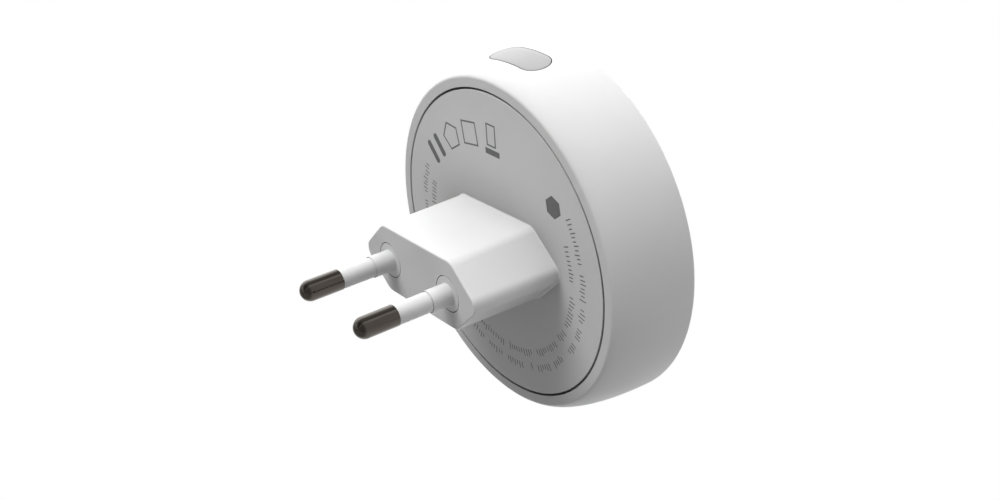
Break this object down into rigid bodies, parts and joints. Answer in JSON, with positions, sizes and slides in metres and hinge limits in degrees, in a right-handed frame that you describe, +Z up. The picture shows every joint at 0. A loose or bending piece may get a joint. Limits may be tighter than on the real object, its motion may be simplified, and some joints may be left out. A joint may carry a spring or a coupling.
{
  "type": "plug-in night light",
  "caption": "Round white plug-in night light: a shallow disc with a flat back, a hexagonal plug body with part-insulated round pins, and a flush light-sensor window on top.",
  "frame": {"origin": "centre of the plug's end face, the plane that meets the socket, midway between the pins", "axes": "+Y along the pins, into the wall; the light shines along -Y into the room; +Z up, with the light-sensor window on top; the pins lie side by side along X"},
  "size_m": [0.0706, 0.0538, 0.0706],
  "materials": {
    "white_plastic": "fine satin moulding texture",
    "pin_insulation": "smooth satin",
    "pin_metal": "polished, with a dark nickel plating over the brass",
    "diffuser": "milky, satin, lets light through",
    "reflector": "bright white semi-gloss",
    "sensor_window": "smoky light grey, satin, lets some light through",
    "clear_plastic": "clear and polished",
    "black_plastic": "black moulding compound",
    "spring_bronze": "bright rolled bronze strip",
    "screw_steel": "zinc plated",
    "board": "green lacquered glass-fibre board",
    "led": "white body with a yellow phosphor face",
    "film_box": "yellow box",
    "capacitor_can": "dark sleeve over an aluminium can",
    "resistor_body": "grey-blue lacquer",
    "varistor_disc": "blue dipped coating"
  },
  "bodies": {
    "root": {"board_screw_1": "screw_steel", "board_screw_2": "screw_steel", "board_screw_3": "screw_steel", "bridge_rectifier": "black_plastic", "chip_resistor_1": "black_plastic", "chip_resistor_2": "black_plastic", "chip_resistor_3": "black_plastic", "chip_resistor_4": "black_plastic", "clamp_screw": "screw_steel", "contact_spring_left": "spring_bronze", "contact_spring_right": "spring_bronze", "driver_chip": "black_plastic", "electrolytic_capacitor": "capacitor_can", "film_capacitor": "film_box", "front_diffuser": "diffuser", "fusible_resistor": "resistor_body", "housing_ring": "white_plastic", "led_1": "led", "led_2": "led", "led_3": "led", "led_4": "led", "led_5": "led", "led_6": "led", "led_7": "led", "led_8": "led", "main_board": "board", "phototransistor": "clear_plastic", "pin_bush_left": "pin_insulation", "pin_bush_right": "pin_insulation", "pin_clamp_bar": "white_plastic", "pin_left": "pin_metal", "pin_right": "pin_metal", "pin_sleeve_left": "pin_insulation", "pin_sleeve_right": "pin_insulation", "rear_cover": "white_plastic", "reflector_tray": "reflector", "sensor_light_pipe": "clear_plastic", "sensor_light_shield": "black_plastic", "sensor_window": "sensor_window", "varistor": "varistor_disc"}
  },
  "joints": []
}
